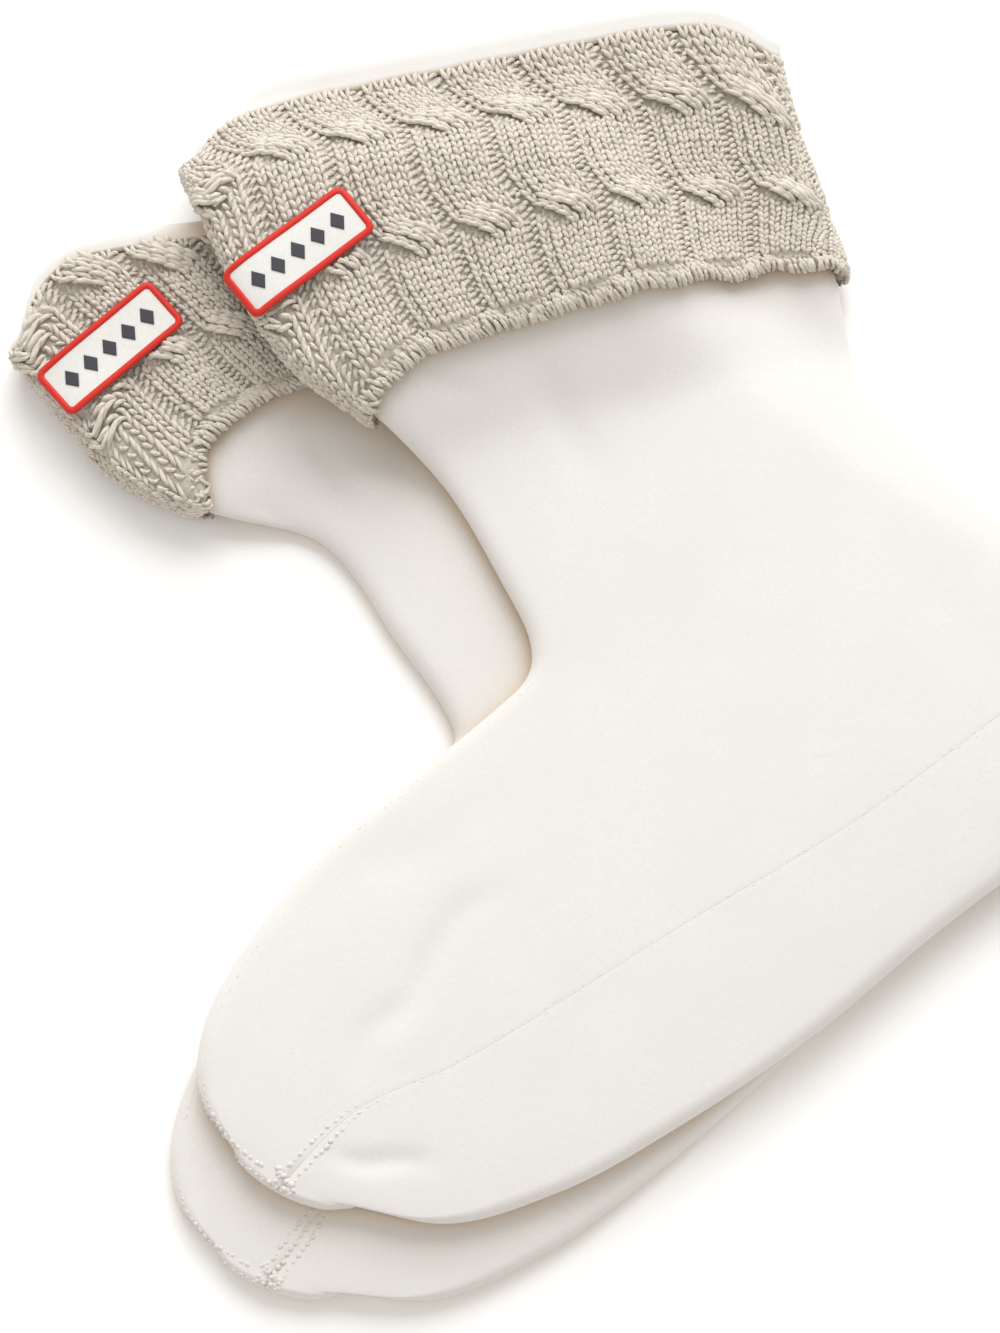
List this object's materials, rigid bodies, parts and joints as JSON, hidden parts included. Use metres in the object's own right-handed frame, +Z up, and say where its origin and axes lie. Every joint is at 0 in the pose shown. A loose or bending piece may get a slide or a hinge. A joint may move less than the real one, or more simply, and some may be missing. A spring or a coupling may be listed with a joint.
{
  "type": "pair of boot socks",
  "caption": "Pair of short fleece boot socks with turned-down cable-knit cuffs and a small patch on each cuff, laid flat one partly over the other.",
  "frame": {"origin": "centre of the pair's bounding box at the level of the surface it lies on", "axes": "+Z up, the thickness of the two flat socks; +Y along the legs towards the cuffs' turned tops; +X towards the heels"},
  "size_m": [0.3038, 0.3498, 0.0392],
  "materials": {
    "fleece": "brushed fleece",
    "knit": "cable knit in plied yarn",
    "patch": "moulded patch with a red raised edge"
  },
  "bodies": {
    "root": {"bottom_sock_upper": "fleece", "bottom_sock_sole": "fleece", "bottom_sock_cuff": "knit", "bottom_sock_patch": "patch", "top_sock_upper": "fleece", "top_sock_sole": "fleece", "top_sock_cuff": "knit", "top_sock_patch": "patch"}
  },
  "joints": []
}
